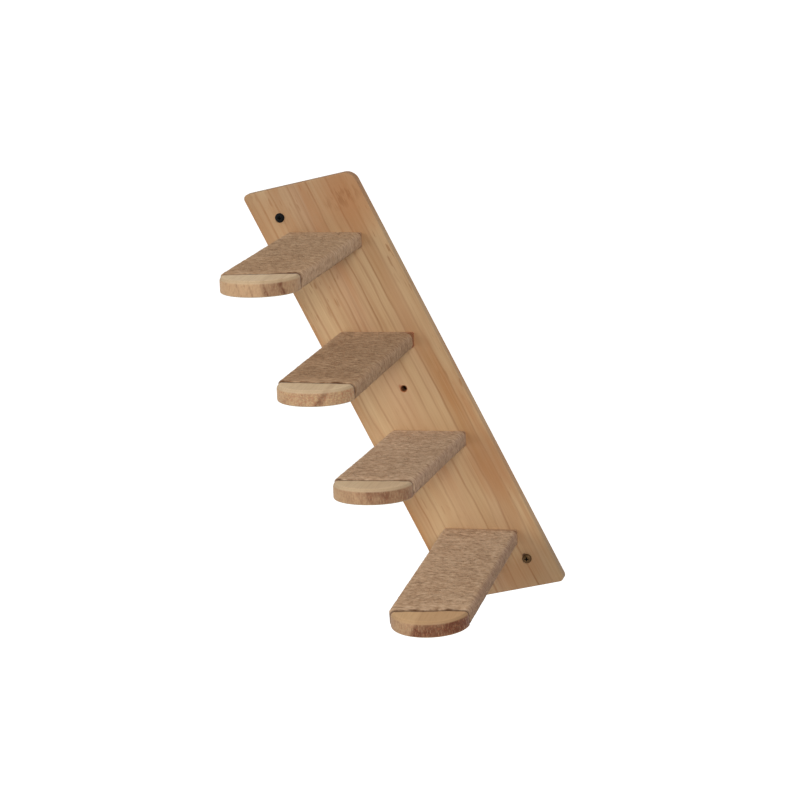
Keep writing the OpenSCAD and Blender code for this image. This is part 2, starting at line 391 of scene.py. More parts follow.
# Soft places on the board: across, up, half width, half height, strength and colour
# The last two are a chip beside the bottom wall screw and torn wood beside the empty hole
BOARD_PLACES = (
    (0.86, 0.93, 0.22, 0.08, 0.7, "board_flame"),
    (0.08, 0.95, 0.12, 0.06, 0.35, "board_flame"),
    (0.88, 0.27, 0.2, 0.07, 0.5, "board_flame"),
    (0.64, 0.03, 0.16, 0.035, 0.5, "board_flame"),
    (0.42, 0.47, 0.2, 0.09, 0.25, "board_pale"),
    (0.55, 0.39, 0.2, 0.06, 0.45, "board_pale"),
    (0.4, 0.2, 0.18, 0.08, 0.5, "board_pale"),
    (0.1, 0.25, 0.12, 0.05, 0.25, "board_flame"),
    (0.766, 0.0585, 0.017, 0.004, 1.0, "drilled"),
    (0.474, 0.507, 0.012, 0.0045, 1.0, "torn"),
)

# Scuffed place near the board's top: across, up, half width, half height
SCUFF = (0.82, 0.93, 0.14, 0.02)

# Brightness of the board from its low end to its high end: partly the wood's own tone, partly painted light
# that pales the middle against the steps' shade, and painted shade that darkens the low end
BOARD_LEVELS = (
    (0.0, 0.62), (0.05, 0.66), (0.12, 0.88), (0.2, 0.93), (0.3, 0.88), (0.38, 0.98), (0.45, 0.94),
    (0.6, 0.92), (0.75, 0.88), (0.86, 0.85), (0.93, 0.78), (1.0, 0.72),
)

# Shares of the fibres and the lines in the board's relief
FIBRE_RELIEF, LINE_RELIEF = 0.6, 0.4


def pine_board_material(sizes, shades):
    """Sanded pine with its grain along the board: soft bands, thin dark lines, flecks and fine fibres."""
    tree = new_tree("pine_board")
    where = tree.place(turn=(0, sizes.board_lean, 0))
    across, depth, along = tree.split(where)
    values = tree.noises(where, BOARD_NOISES)
    lean = tree.sum("MULTIPLY", tree.sum("SUBTRACT", depth, BOARD_FACE), RING_LEAN)
    ring_at = tree.sum("ADD", across, lean)
    for name, span, most in BOARD_DRIFTS:
        ring_at = tree.sum("ADD", ring_at, tree.spread(values[name], *span, -most, most))
    share = tree.sum("ADD", tree.sum("DIVIDE", ring_at, sizes.board_width), 0.5)
    height = tree.sum("ADD", tree.sum("DIVIDE", along, sizes.board_length), 0.5)

    shade = tree.ramp(share, [(at, getattr(shades, name)) for at, name in BOARD_BANDS])
    warm = tree.sum("MULTIPLY", tree.ramp(share, WARM_ACROSS), tree.ramp(height, WARM_ALONG))
    shade = tree.mix(warm, shade, shades.board_warm)

    sets_in, darkest, ends = LINE_SHAPE
    stops = []
    for at, dark in BOARD_LINES:
        stops += [(at + sets_in, 0.0), (at + darkest, dark), (at + ends, 0.0)]
    faint = tree.spread(values["faint"], low=0.36, high=0.6, to_low=0.6, to_high=1.05)
    values["line"] = tree.sum("MULTIPLY", tree.ramp(share, stops), faint)
    fleck = tree.fade(values["fleck"], start=0.62, full=0.7, strength=0.6)
    values["flecks"] = tree.sum("MULTIPLY", fleck, tree.fade(values["flecked"], start=0.54, full=0.66))
    shade = tree.lay(shade, values, BOARD_LAYERS, shades)

    for at, up, wide, tall, strength, over in BOARD_PLACES:
        amount = tree.sum("MULTIPLY", tree.spot(share, height, at, up, wide, tall), strength)
        shade = tree.mix(amount, shade, getattr(shades, over))
    scratches = tree.fade(values["scratch"], start=0.48, full=0.6, strength=0.5)
    scuff = tree.sum("MULTIPLY", tree.spot(share, height, *SCUFF), scratches)
    shade = tree.mix(scuff, shade, shades.board_line)
    # Partly the wood's tone, partly painted light and shade along the board
    shade = tree.mix(1.0, shade, tree.ramp(height, BOARD_LEVELS), "MULTIPLY")

    raised = tree.sum("MULTIPLY", values["fibre"], FIBRE_RELIEF)
    sunk = tree.sum("MULTIPLY", values["line"], LINE_RELIEF)
    tree.bump(tree.sum("SUBTRACT", raised, sunk), distance=0.12 * MM)
    rough = tree.spread(values["fibre"], *FULL_RANGE, to_low=0.5, to_high=0.72)
    return tree.set(Base_Color=shade, Roughness=rough, Specular_IOR_Level=0.3)


# Noise and layer of drilled wood, and the depths between which it turns from reddish to dark with painted
# shade
DRILLED_NOISES = {"torn": ((900, 250, 900), 3, 0.0, 0)}
DRILLED_LAYERS = (("torn", 0.4, 0.7, 0.4, "board_line"),)
DRILLED_DEPTHS = (0.3 * MM, 1.0 * MM)


def drilled_material(shades):
    """Torn wood inside a hole: reddish at the rim, and darker further in with painted shade."""
    tree = new_tree("drilled_pine")
    where = tree.place()
    values = tree.noises(where, DRILLED_NOISES)
    rim, inside = DRILLED_DEPTHS
    # Painted shade that darkens the hole's wall further in
    deep_shade = tree.fade(tree.split(where)["Y"], BOARD_FACE + rim, BOARD_FACE + inside)
    shade = tree.lay(tree.mix(deep_shade, shades.torn, shades.drilled), values, DRILLED_LAYERS, shades)
    tree.bump(values["torn"], distance=0.2 * MM)
    return tree.set(Base_Color=shade, Roughness=0.9, Specular_IOR_Level=0.1)


# Rings of each step: their slant, how tan its faces are, how torn its nose is, and (place, darkness) stops
STEP_RINGS = {
    1: (0.36, 0.1, 0.25, (
        (0.0, 0.02), (0.12, 0.1), (0.335, 0.2), (0.35, 0.42), (0.365, 0.16), (0.495, 0.2), (0.51, 0.55),
        (0.525, 0.18), (0.63, 0.28), (0.685, 0.88), (0.71, 0.56), (0.83, 0.54), (0.865, 0.9), (0.885, 0.5),
        (1.0, 0.42),
    )),
    2: (-0.7, 0.0, 0.9, (
        (0.0, 0.0), (0.14, 0.1), (0.24, 0.36), (0.3, 0.24), (0.38, 0.24), (0.44, 0.42), (0.5, 0.4),
        (0.55, 0.26), (0.61, 0.32), (0.65, 0.88), (0.7, 0.7), (0.73, 0.26), (0.86, 0.28), (0.9, 0.4),
        (1.0, 0.34),
    )),
    3: (0.4, 0.0, 0.35, (
        (0.0, 0.14), (0.12, 0.24), (0.3, 0.4), (0.39, 0.34), (0.42, 0.48), (0.52, 0.54), (0.56, 0.74),
        (0.64, 0.66), (0.7, 0.8), (0.8, 0.72), (1.0, 0.68),
    )),
    4: (-0.4, 0.7, 0.5, (
        (0.0, 0.4), (0.2, 0.34), (0.36, 0.4), (0.4, 0.95), (0.5, 0.9), (0.58, 1.0), (1.0, 1.0),
    )),
}

# Noises of a step's wood, as in Tree.noises
STEP_NOISES = {
    "sway": ((70, 7, 70), 2, 0.0, 1),
    "fibre": ((1200, 60, 1200), 3, 0.0, 0),
    "pores": ((1150, 300, 320), 2, 2.2, 0),
    "cloud": ((130, 40, 130), 2, 7.0, 1),
    "tear": ((760, 500, 900), 2, 3.3, 1),
    "ragged": ((120, 120, 120), 2, 0.0, 0),
}

# The most that a step's rings wander, and their strength on its end grain where clouds are low and high
STEP_DRIFT = 1.6 * MM
RING_CLOUDS = (0.35, 0.65, 0.82, 1.12)

# Layers over a step's faces and over its end grain, as in Tree.lay
FACE_LAYERS = (("ring", 0.0, 1.0, 0.34, "step_line"), ("fibre", 0.45, 0.7, 0.12, "step_line"))
END_LAYERS = (
    ("clouded", 0.0, 1.0, 1.0, "end_grain"),
    ("pores", 0.5, 0.7, 0.34, "end_pale"),
    ("pores", 0.47, 0.3, 0.32, "end_grain"),
)

# Ring darkness at which pale torn wood would be gone, where the darkest rings are 1
TORN_LIMIT = 1.2

# How much darker the rounded rim of a nose is painted than its top: painted shade that tones down the rim's
# highlight
RIM_PAINTED_SHADE = (0.74, 0.72, 0.7)

# The one step whose winding leaves a corner of its collar bare
BARE_COLLAR = 2

# Share of the rings in a step's relief
RING_RELIEF = 0.5


def behind_seam(tree, across, along, ragged, step):
    """How far a point of a step lies behind the slanted, ragged end of its winding."""
    seam_middle, seam_slope = seam_line(step)
    seam_at = tree.sum("ADD", tree.sum("MULTIPLY", across, seam_slope), NOSE_AT + seam_middle)
    return tree.sum("SUBTRACT", tree.sum("ADD", along, ragged), seam_at)


def pine_step_material(step, sizes, shades):
    """Pine of one step: pale faces, and red-brown rings across the end grain of the nose."""
    slant, warmth, tearing, stops = STEP_RINGS[step]
    tree = new_tree(f"pine_step_{step}")
    where = tree.place_on_step(step, sizes)
    across, along, level = tree.split(where)
    values = tree.noises(where, STEP_NOISES, step)
    drift = tree.spread(values["sway"], *WIDE_RANGE, -STEP_DRIFT, STEP_DRIFT)
    ring_at = tree.sum("ADD", tree.sum("ADD", across, drift), tree.sum("MULTIPLY", level, slant))
    ring = tree.ramp(tree.sum("ADD", tree.sum("DIVIDE", ring_at, STEP_WIDTH), 0.5), stops)
    values["ring"] = ring
    values["clouded"] = tree.sum("MULTIPLY", ring, tree.spread(values["cloud"], *RING_CLOUDS))

    face = tree.mix(warmth, shades.step_pale, shades.step_tan)
    face = tree.lay(face, values, FACE_LAYERS, shades)
    end = tree.lay(shades.end_pale, values, END_LAYERS, shades)
    torn = tree.fade(values["tear"], start=0.52, full=0.66, strength=0.8 * tearing)
    end = tree.mix(tree.sum("MULTIPLY", torn, tree.sum("SUBTRACT", TORN_LIMIT, ring)), end, shades.torn_pale)
    reddish = tree.fade(values["tear"], start=0.48, full=0.34, strength=0.7 * tearing)
    end = tree.mix(reddish, end, shades.torn)

    flat_on = tree.sum("ABSOLUTE", tree.facing()["Z"])
    # Painted shade on the rounded rim of the nose, against its highlight
    face = tree.mix(tree.fade(flat_on, start=0.99, full=0.8), face, RIM_PAINTED_SHADE, "MULTIPLY")
    shade = tree.mix(tree.fade(flat_on, start=0.5, full=0.2), face, end)
    ragged = tree.spread(values["ragged"], *NARROW_RANGE, to_low=-0.9 * MM, to_high=0.7 * MM)
    behind = behind_seam(tree, across, along, ragged, step)
    # Painted shadow of the gap behind the end of the winding, on the wood
    seam = tree.fade(behind, start=-2.0 * MM, full=-0.7 * MM, strength=0.9)
    shade = tree.mix(seam, shade, shades.seam)
    blend = 1 * MM
    collar = tree.fade(along, BAND_START - blend, BAND_START + blend, strength=0.85)
    here = float(step == BARE_COLLAR)
    bare = tree.fade(across, start=0.36 * STEP_WIDTH, full=0.44 * STEP_WIDTH, strength=here)
    shade = tree.mix(collar, shade, tree.mix(bare, shades.collar, shades.torn))

    relief = tree.sum("SUBTRACT", values["fibre"], tree.sum("MULTIPLY", ring, RING_RELIEF))
    tree.bump(relief, distance=0.1 * MM)
    rough = tree.spread(values["fibre"], *FULL_RANGE, to_low=0.5, to_high=0.74)
    return tree.set(Base_Color=shade, Roughness=rough, Specular_IOR_Level=0.3)


# Noises of the jute, as in Tree.noises
JUTE_NOISES = {
    "broad": ((14, 22, 14), 2, 4.4, 1),
    "mottle": ((260, 330, 260), 3, 2.9, 1),
    "streak": ((110, 520, 110), 2, 0.0, 1),
    "fibre": ((450, 2400, 450), 2, 6.1, 0),
    "speck": ((260, 950, 260), 2, 1.1, 1),
    "ragged": ((120, 120, 120), 2, 0.0, 0),
}

# Layers over the jute's middle tone, as in Tree.lay
JUTE_LAYERS = (
    ("broad", 0.35, 0.65, 0.25, "jute_pale"),
    ("mottle", 0.5, 0.72, 0.28, "jute_pale"),
    ("mottle", 0.46, 0.28, 0.3, "jute_dark"),
    ("streak", 0.46, 0.3, 0.35, "jute_dark"),
    ("fibre", 0.5, 0.75, 0.4, "jute_pale"),
    ("fibre", 0.42, 0.28, 0.5, "jute_dark"),
    ("speck", 0.5, 0.7, 0.6, "jute_pale"),
    ("speck", 0.48, 0.3, 0.6, "jute_dark"),
)

# Tone of each step's jute, partly its own and partly painted light that lifts the lower steps against the
# shade of the steps above, and on top of that painted light and shade on its right flank
JUTE_TONES_AND_LIGHT = {1: (0.85, 0.81, 0.75), 2: (0.77, 0.71, 0.64), 3: (1.0, 1.0, 1.0), 4: (0.95, 0.94, 0.92)}
FLANK_PAINTED_LIGHT = {1: (1.15, 1.14, 1.17), 2: (1.06, 1.04, 1.05), 3: (0.86, 0.8, 0.8), 4: (0.76, 0.69, 0.71)}


def jute_material(name, step, sizes, shades, paleness):
    """Rough jute: uneven turns that differ in colour, with fibres along each turn and a last turn darkened by
    painted shadow of the seam.
    """
    tree = new_tree(name)
    where = tree.place_on_step(step, sizes)
    across, along = tree.split(where)[:2]
    values = tree.noises(where, JUTE_NOISES, step)
    shade = tree.lay(shades.jute, values, JUTE_LAYERS, shades)
    sideways = tree.facing()["X"]
    # Grey where the surface faces sideways: fuzz, and partly painted sheen
    fuzz_sheen = tree.fade(tree.sum("ABSOLUTE", sideways), start=0.4, full=0.9, strength=0.3)
    shade = tree.mix(fuzz_sheen, shade, shades.jute_grey_sheen)
    # Painted light and shade on the right flank: lighter on the upper steps, darker on the lower ones
    flank_light = tree.fade(sideways, start=0.25, full=0.85)
    shade = tree.mix(flank_light, shade, FLANK_PAINTED_LIGHT[step], "MULTIPLY")
    shade = tree.mix(paleness, shade, shades.jute_pale)
    # Each step's jute tone, partly painted light that evens out the shade of the steps above
    shade = tree.mix(1.0, shade, JUTE_TONES_AND_LIGHT[step], "MULTIPLY")
    ragged = tree.spread(values["ragged"], *NARROW_RANGE, to_low=-0.8 * MM, to_high=0.8 * MM)
    behind = behind_seam(tree, across, along, ragged, step)
    # Painted shadow of the gap at the end of the winding, on its last turn
    seam = tree.fade(behind, start=3.0 * MM, full=1.9 * MM, strength=0.9)
    shade = tree.mix(seam, shade, shades.seam)
    tree.bump(tree.sum("ADD", values["fibre"], values["mottle"]), distance=0.3 * MM)
    return tree.set(
        Base_Color=shade, Roughness=0.95, Specular_IOR_Level=0.1, Sheen_Weight=0.15, Sheen_Roughness=0.6,
        Sheen_Tint=(*shades.jute_pale, 1),
    )


# Metals: colour, metallic share, roughness and wear
METALS = {
    "zinc_steel": ("zinc", 1.0, 0.36, 0.3),
    "black_steel": ("black", 0.0, 0.8, 0.1),
    "bronze_steel": ("bronze", 0.5, 0.5, 0.6),
    # The bronze recess is painted shade inside the cross of the bottom wall screw
    "bronze_recess": ("recess", 0.0, 0.8, 0.1),
}

# Noises of metal, as in Tree.noises
METAL_NOISES = {"patch": ((700, 700, 700), 3, 0.0, 0), "scratch": ((5200, 500, 900), 2, 1.7, 0)}

# How much brighter worn metal is, and the least and most that scratches add to the roughness
WORN = 1.7
SMOOTHER, ROUGHER = -0.1, 0.12


def metal_material(name, shades):
    """Plated or blackened steel with fine scratches and a patchy tone."""
    colour_name, metallic, roughness, wear = METALS[name]
    shade = tuple(getattr(shades, colour_name))
    tree = new_tree(name)
    values = tree.noises(tree.place(), METAL_NOISES)
    worn = tuple(min(1.0, channel * WORN) for channel in shade)
    tint = tree.mix(tree.fade(values["patch"], start=0.45, full=0.75, strength=wear), shade, worn)
    tree.bump(values["scratch"], distance=0.02 * MM)
    rough = tree.spread(values["scratch"], *WIDE_RANGE, roughness + SMOOTHER, roughness + ROUGHER)
    return tree.set(Base_Color=tint, Metallic=metallic, Roughness=rough, Specular_IOR_Level=0.15)


# Mesh helpers

# Corners that are closer than this are one corner
WELD = 0.001 * MM


def put(name, data):
    """A new object in the scene."""
    thing = bpy.data.objects.new(name, data)
    bpy.context.scene.collection.objects.link(thing)
    return thing


def show_piece(mesh, name, nodes, sharp=40):
    """Puts a finished mesh in the scene as a piece that stands for CAD nodes."""
    mesh.shade_smooth()
    mesh.set_sharp_from_angle(angle=math.radians(sharp))
    piece = put(name, mesh)
    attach(piece, BODY)
    if nodes:
        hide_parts(*nodes)
    return piece


def even_shading(piece):
    """Keeps large flat faces flat next to rounded edges."""
    even = piece.modifiers.new("even_shading", "WEIGHTED_NORMAL")
    even.keep_sharp = True


def mesh_of(shape, name, material):
    """A mesh of one material from a bmesh, which is freed."""
    bmesh.ops.recalc_face_normals(shape, faces=shape.faces)
    mesh = bpy.data.meshes.new(name)
    shape.to_mesh(mesh)
    shape.free()
    mesh.materials.append(material)
    return mesh


def baked(thing):
    """The mesh that an object shows, with its modifiers applied."""
    return bpy.data.meshes.new_from_object(thing.evaluated_get(bpy.context.evaluated_depsgraph_get()))


def combine(base, tool, operation):
    """The base mesh joined with the tool, or with the tool cut away. Faces keep their materials."""
    holder = put("combine_base", base)
    cutter = put("combine_tool", tool)
    change = holder.modifiers.new("combine", "BOOLEAN")
    change.operation = operation
    change.solver = "EXACT"
    change.material_mode = "TRANSFER"
    change.object = cutter
    done = baked(holder)
    for thing, mesh in ((holder, base), (cutter, tool)):
        bpy.data.objects.remove(thing)
        bpy.data.meshes.remove(mesh)
    if not done.polygons:
        raise RuntimeError(f"{operation} left nothing of {done.name}")
    return done


def round_off(shape, parts, radius, segments, affect="EDGES"):
    """Rounds edges or corners of a bmesh."""
    bmesh.ops.bevel(
        shape, geom=list(parts), offset=radius, offset_type="OFFSET", segments=segments, profile=0.5,
        affect=affect, material=-1, clamp_overlap=True,
    )


def verts_of(parts):
    """The corners among parts of a bmesh."""
    return [part for part in parts if isinstance(part, bmesh.types.BMVert)]


def depth_of(edge):
    """How far an edge reaches along Y."""
    return abs(edge.verts[0].co.y - edge.verts[1].co.y)


def block(low, high, radius, segments):
    """A box whose edges along Y are rounded."""
    shape = bmesh.new()
    low, high = Vector(low), Vector(high)
    bmesh.ops.create_cube(shape, size=1, matrix=Matrix.LocRotScale((low + high) / 2, None, high - low))
    run = [edge for edge in shape.edges if depth_of(edge) > (high.y - low.y) / 2]
    round_off(shape, run, radius, segments)
    return shape


def turned(profile, steps=40):
    """A closed shape turned round the Z axis from (radius, z) points that start and end on the axis."""
    shape = bmesh.new()
    verts = [shape.verts.new((radius, 0, z)) for radius, z in profile]
    edges = [shape.edges.new(pair) for pair in zip(verts, verts[1:])]
    bmesh.ops.spin(
        shape, geom=verts + edges, cent=(0, 0, 0), axis=(0, 0, 1), angle=math.tau, steps=steps,
        use_merge=True, use_duplicate=False,
    )
    bmesh.ops.remove_doubles(shape, verts=shape.verts, dist=WELD)
    return shape


def cut_off(shape, point, normal):
    """Cuts off what lies beyond a plane, and closes the cut."""
    everything = [*shape.verts, *shape.edges, *shape.faces]
    sawn = bmesh.ops.bisect_plane(shape, geom=everything, plane_co=point, plane_no=normal, clear_outer=True)
    rim = [part for part in sawn["geom_cut"] if isinstance(part, bmesh.types.BMEdge)]
    bmesh.ops.holes_fill(shape, edges=rim, sides=0)
    bmesh.ops.recalc_face_normals(shape, faces=shape.faces)


def facing(at, towards):
    """Stands a shape on a point with its +Z along +Y or -Y."""
    return Matrix.Translation(at) @ Matrix.Rotation(-towards * math.pi / 2, 4, "X")


def strand_mesh(name, runs, thickness, rings, material):
    """A mesh of round strands, one for each run of (point, thickness share) pairs."""
    path = bpy.data.curves.new(name, "CURVE")
    path.dimensions = "3D"
    path.bevel_depth = thickness / 2
    path.bevel_resolution = rings
    path.use_fill_caps = True
    for run in runs:
        strand = path.splines.new("POLY")
        strand.points.add(len(run) - 1)
        strand.points.foreach_set("co", [value for point, _share in run for value in (*point, 1)])
        strand.points.foreach_set("radius", [share for _point, share in run])
    holder = put(name, path)
    mesh = baked(holder)
    bpy.data.objects.remove(holder)
    bpy.data.curves.remove(path)
    mesh.name = name
    mesh.materials.clear()
    mesh.materials.append(material)
    return mesh


# Board

# Drills reach past the board's faces by this much, and step screws' heads have this much play
DRILL_OVER = 1 * MM
HEAD_PLAY = 0.05 * MM

# The board's corners turn by more than the first, and its rims are level within the second
CORNER_TURN = math.radians(30)
LEVEL_WITHIN = 0.1 * MM


def board_plate(sizes, material):
    """The board's plate with round corners and eased edges, before it is drilled."""
    shape = bmesh.new()
    half_width, half_length = sizes.board_width / 2, sizes.board_length / 2
    rise = math.tan(sizes.end_slant)
    corners = [
        shape.verts.new((side * half_width, 0, end * half_length - side * half_width * rise))
        for side, end in ((-1, -1), (1, -1), (1, 1), (-1, 1))
    ]
    back = shape.faces.new(corners)
    pulled = bmesh.ops.extrude_face_region(shape, geom=[back])["geom"]
    bmesh.ops.translate(shape, verts=verts_of(pulled), vec=(0, BOARD_FACE, 0))

    square_half = math.radians(45)
    for pointed, radius, turn in ((True, sizes.board_point, -1), (False, sizes.board_corner, 1)):
        uprights = [
            edge for edge in shape.edges
            if depth_of(edge) > -BOARD_FACE / 2
            and (edge.verts[0].co.x * edge.verts[0].co.z < 0) == pointed
            and edge.calc_face_angle() > CORNER_TURN
        ]
        round_off(shape, uprights, radius / math.tan(square_half + turn * sizes.end_slant / 2), segments=8)
    rims = [edge for edge in shape.edges if depth_of(edge) < LEVEL_WITHIN]
    round_off(shape, rims, sizes.board_ease, segments=3)
    bmesh.ops.rotate(shape, verts=shape.verts, matrix=Matrix.Rotation(-sizes.board_lean, 3, "Y"))
    return mesh_of(shape, "pine_back_board", material)


def drill_mesh(sizes, material):
    """The room that the wall screws and step screws take in the board."""
    radius, ease, thick = sizes.wall_hole / 2, sizes.hole_ease, -BOARD_FACE
    under, past = -DRILL_OVER, thick + DRILL_OVER
    narrow = sizes.hole_back / 2
    rim = [(radius, thick - ease), (radius + ease + DRILL_OVER, past), (0, past)]
    wall_profile = [(0, under), (radius, under), *rim]
    empty_profile = [(0, under), (narrow, under), (narrow, thick / 2), *rim]
    head = (SCREW_HIGH.x - SCREW_LOW.x) / 2 + HEAD_PLAY
    body = head / 2
    sink = sizes.head_sink
    step_profile = [
        (0, under), (head, under), (head, sink), (body, sink + head - body), (body, past), (0, past),
    ]
    places = [(empty_profile, Vector((0, 0, 0)))]
    places += [(wall_profile, middle(name)) for name in WALL_SCREWS]
    places += [(step_profile, middle(f"step_{step}_screw_{side}")) for step in STEPS for side in SIDES]
    drills = bmesh.new()
    drill = bpy.data.meshes.new("board_drill")
    for profile, at in places:
        one = turned(profile, steps=32)
        one.transform(facing((at.x, 0, at.z), -1))
        one.to_mesh(drill)
        one.free()
        drills.from_mesh(drill)
    bpy.data.meshes.remove(drill)
    return mesh_of(drills, "board_drill", material)


class STAIR_OT_back_board(bpy.types.Operator):
    """Build the leaning pine board with its holes"""

    bl_idname = "stair.back_board"
    bl_label = "Back board"

    def execute(self, context):
        sizes, shades = settings(context)
        plate = board_plate(sizes, pine_board_material(sizes, shades))
        mesh = combine(plate, drill_mesh(sizes, drilled_material(shades)), "DIFFERENCE")
        even_shading(show_piece(mesh, "pine_back_board", ["back_board"]))
        return {"FINISHED"}


# Steps

# Straight wood behind a nose's round part before it is cut off, and the rounding of that cut
NOSE_TAIL = 15 * MM
SEAM_EASE = 0.35 * MM

# The core reaches this far into the nose, past its middle, and into the collar
CORE_NOSE_LAP = 9 * MM
CORE_COLLAR_LAP = 1.5 * MM

# The collar keeps this far from the winding, and reaches this far into the board until it is cut off
COLLAR_GAP = 0.2 * MM
COLLAR_OVER = 2 * MM


def nose_mesh(step, sizes, material):
    """Half-round nose, spun from its rounded edge and cut off along the end of the winding."""
    shape = bmesh.new()
    top = STEP_THICKNESS / 2
    corners = ((0, 0, -top), (NOSE_RADIUS, 0, -top), (NOSE_RADIUS, 0, top), (0, 0, top))
    profile = [shape.verts.new(at) for at in corners]
    for pair in zip(profile, profile[1:]):
        shape.edges.new(pair)
    for corner, radius in ((profile[1], sizes.step_ease), (profile[2], sizes.nose_round)):
        round_off(shape, [corner], radius, segments=6, affect="VERTICES")
    bmesh.ops.spin(
        shape, geom=list(shape.verts) + list(shape.edges), cent=(0, 0, 0), axis=(0, 0, -1), angle=math.pi,
        steps=48, use_merge=False, use_duplicate=False,
    )
    bmesh.ops.remove_doubles(shape, verts=shape.verts, dist=WELD)
    rim = [edge for edge in shape.edges if edge.is_boundary]
    tail = verts_of(bmesh.ops.extrude_edge_only(shape, edges=rim)["geom"])
    bmesh.ops.translate(shape, verts=tail, vec=(0, NOSE_TAIL, 0))
    seam_middle, seam_slope = seam_line(step)
    cut_off(shape, (0, seam_middle, 0), (-seam_slope, 1, 0))
    rear = max(shape.faces, key=lambda face: face.calc_center_median().y)
    round_off(shape, rear.edges, SEAM_EASE, segments=2)
    bmesh.ops.translate(shape, verts=shape.verts, vec=(0, NOSE_AT, 0))
    return mesh_of(shape, "pine_nose", material)


def step_mesh(step, sizes, material):
    """One step: a collar at the board, a thinner core under the twine, and the nose."""
    wide, high = STEP_WIDTH / 2, STEP_THICKNESS / 2
    front, back = (-wide, BAND_START + COLLAR_GAP, -high), (wide, COLLAR_OVER, high)
    collar = block(front, back, sizes.step_ease, segments=4)
    wide, high = wide - sizes.layer, high - sizes.layer
    front, back = (-wide, NOSE_AT - CORE_NOSE_LAP, -high), (wide, BAND_START + CORE_COLLAR_LAP, high)
    core = block(front, back, sizes.core_ease, segments=3)
    mesh = combine(nose_mesh(step, sizes, material), mesh_of(core, "pine_core", material), "UNION")
    mesh = combine(mesh, mesh_of(collar, "pine_collar", material), "UNION")
    mesh.transform(step_place(step, sizes))
    shape = bmesh.new()
    shape.from_mesh(mesh)
    cut_off(shape, (0, BOARD_FACE, 0), (0, 1, 0))
    shape.to_mesh(mesh)
    shape.free()
    return mesh


class STAIR_OT_steps(bpy.types.Operator):
    """Build the four pine steps"""

    bl_idname = "stair.steps"
    bl_label = "Steps"

    def execute(self, context):
        sizes, shades = settings(context)
        for step in STEPS:
            mesh = step_mesh(step, sizes, pine_step_material(step, sizes, shades))
            even_shading(show_piece(mesh, f"pine_step_{step}", [f"step_{step}"]))
        return {"FINISHED"}


# Jute

# Parts of a bend, of the top and of the underside of one turn of twine
BEND_PARTS, TOP_PARTS, UNDER_PARTS = 5, 12, 8

# Places where two turns have parted on top: step, share of the winding's length, share of the width, opening
PARTED = (
    (1, 0.35, 0.30, 0.8 * MM),
    (2, 0.7, -0.85, 3.4 * MM),
    (2, 0.42, 0.35, 0.8 * MM),
    (2, -0.02, 0.95, 18.0 * MM),
    (3, 0.80, -0.62, 2.0 * MM),
    (3, 0.12, 0.2, 1.0 * MM),
    (4, 0.93, -0.45, 2.2 * MM),
    (4, 0.10, 0.3, 1.2 * MM),
    (4, 0.55, 0.1, 0.8 * MM),
)

# How far such an opening reaches along the turns, and over how many turns it fades
PARTED_REACH = 7 * MM
PARTED_TURNS = 3

# Unevenness of the twine in slip along the step, lift off it and thickness: its most, speed and shift
UNEVEN = (
    (0.28 * MM, 1.0, Vector((0, 0, 0))),
    (0.2 * MM, 0.8, Vector((5, 5, 5))),
    (0.12, 1.9, Vector((9, 2, 4))),
)

# How fast that changes per metre round a turn, from turn to turn and from step to step
UNEVEN_ROUND, UNEVEN_TURN, UNEVEN_STEP = 90, 1.7, 31

# Gap between the last turn and the end of the winding
LAST_GAP = 0.2 * MM


def twine_loop(sizes):
    """One turn of twine round a step, as (x, z, outward x, outward z, share of the pitch moved on)."""
    wide = STEP_WIDTH / 2 - sizes.twine / 2 + sizes.twine_proud
    high = STEP_THICKNESS / 2 - sizes.twine / 2 + sizes.twine_proud
    right, left = sizes.twine_bend, sizes.twine_bend_left
    span = 2 * wide - right - left

    def bend(side, up, start, radius):
        """A quarter round an edge of the step, from a start angle in degrees."""
        rows = []
        for part in range(BEND_PARTS + 1):
            turn = math.radians(start + 90 * part / BEND_PARTS)
            out_x, out_z = math.cos(turn), math.sin(turn)
            x, z = side * (wide - radius) + radius * out_x, up * (high - radius) + radius * out_z
            rows.append((x, z, out_x, out_z, 0.0))
        return rows

    top = [(wide - right - span * k / TOP_PARTS, high, 0.0, 1.0, 0.0) for k in range(1, TOP_PARTS)]
    shares = [k / UNDER_PARTS for k in range(1, UNDER_PARTS)]
    under = [(left - wide + span * share, -high, 0.0, -1.0, share) for share in shares]
    right_bends = [*bend(1, -1, -90, right), *bend(1, 1, 0, right)]
    left_bends = [*bend(-1, 1, 90, left), *bend(-1, -1, 180, left)]
    return right_bends + top + left_bends + under


def parting(step, turn, turns, x):
    """How far a turn is pushed towards the nose or the board where the winding has parted."""
    push = 0.0
    for where, share, across, opening in PARTED:
        if where == step:
            off = turn - share * turns + 0.5
            spread = math.exp(-((x - across * STEP_WIDTH / 2) / PARTED_REACH) ** 2)
            push += math.copysign(opening / 2, off) * spread * math.exp(-abs(off) / PARTED_TURNS)
    return push


def winding_run(step, sizes, loop):
    """The twine of one step, as (point, thickness share) pairs."""
    place = step_place(step, sizes)
    turns = sizes.twine_turns
    start = BAND_START - sizes.twine / 2
    pitch = (start - BAND_END - sizes.twine / 2 - LAST_GAP) / turns
    seam_middle, seam_slope = seam_line(step)
    run = []
    for turn in range(turns):
        for x, z, out_x, out_z, moved in loop:
            seed = Vector((x * UNEVEN_ROUND, turn * UNEVEN_TURN + UNEVEN_STEP * step, z * UNEVEN_ROUND))
            slip, lift, swell = (most * noise.noise(seed * speed + shift) for most, speed, shift in UNEVEN)
            slip += parting(step, turn, turns, x)
            skew = (seam_middle + seam_slope * x) * ((turn + moved) / turns) ** 2
            along = start - (turn + moved) * pitch - slip + skew
            run.append((place @ Vector((x + out_x * lift, along, z + out_z * lift)), 1 + swell))
    return run


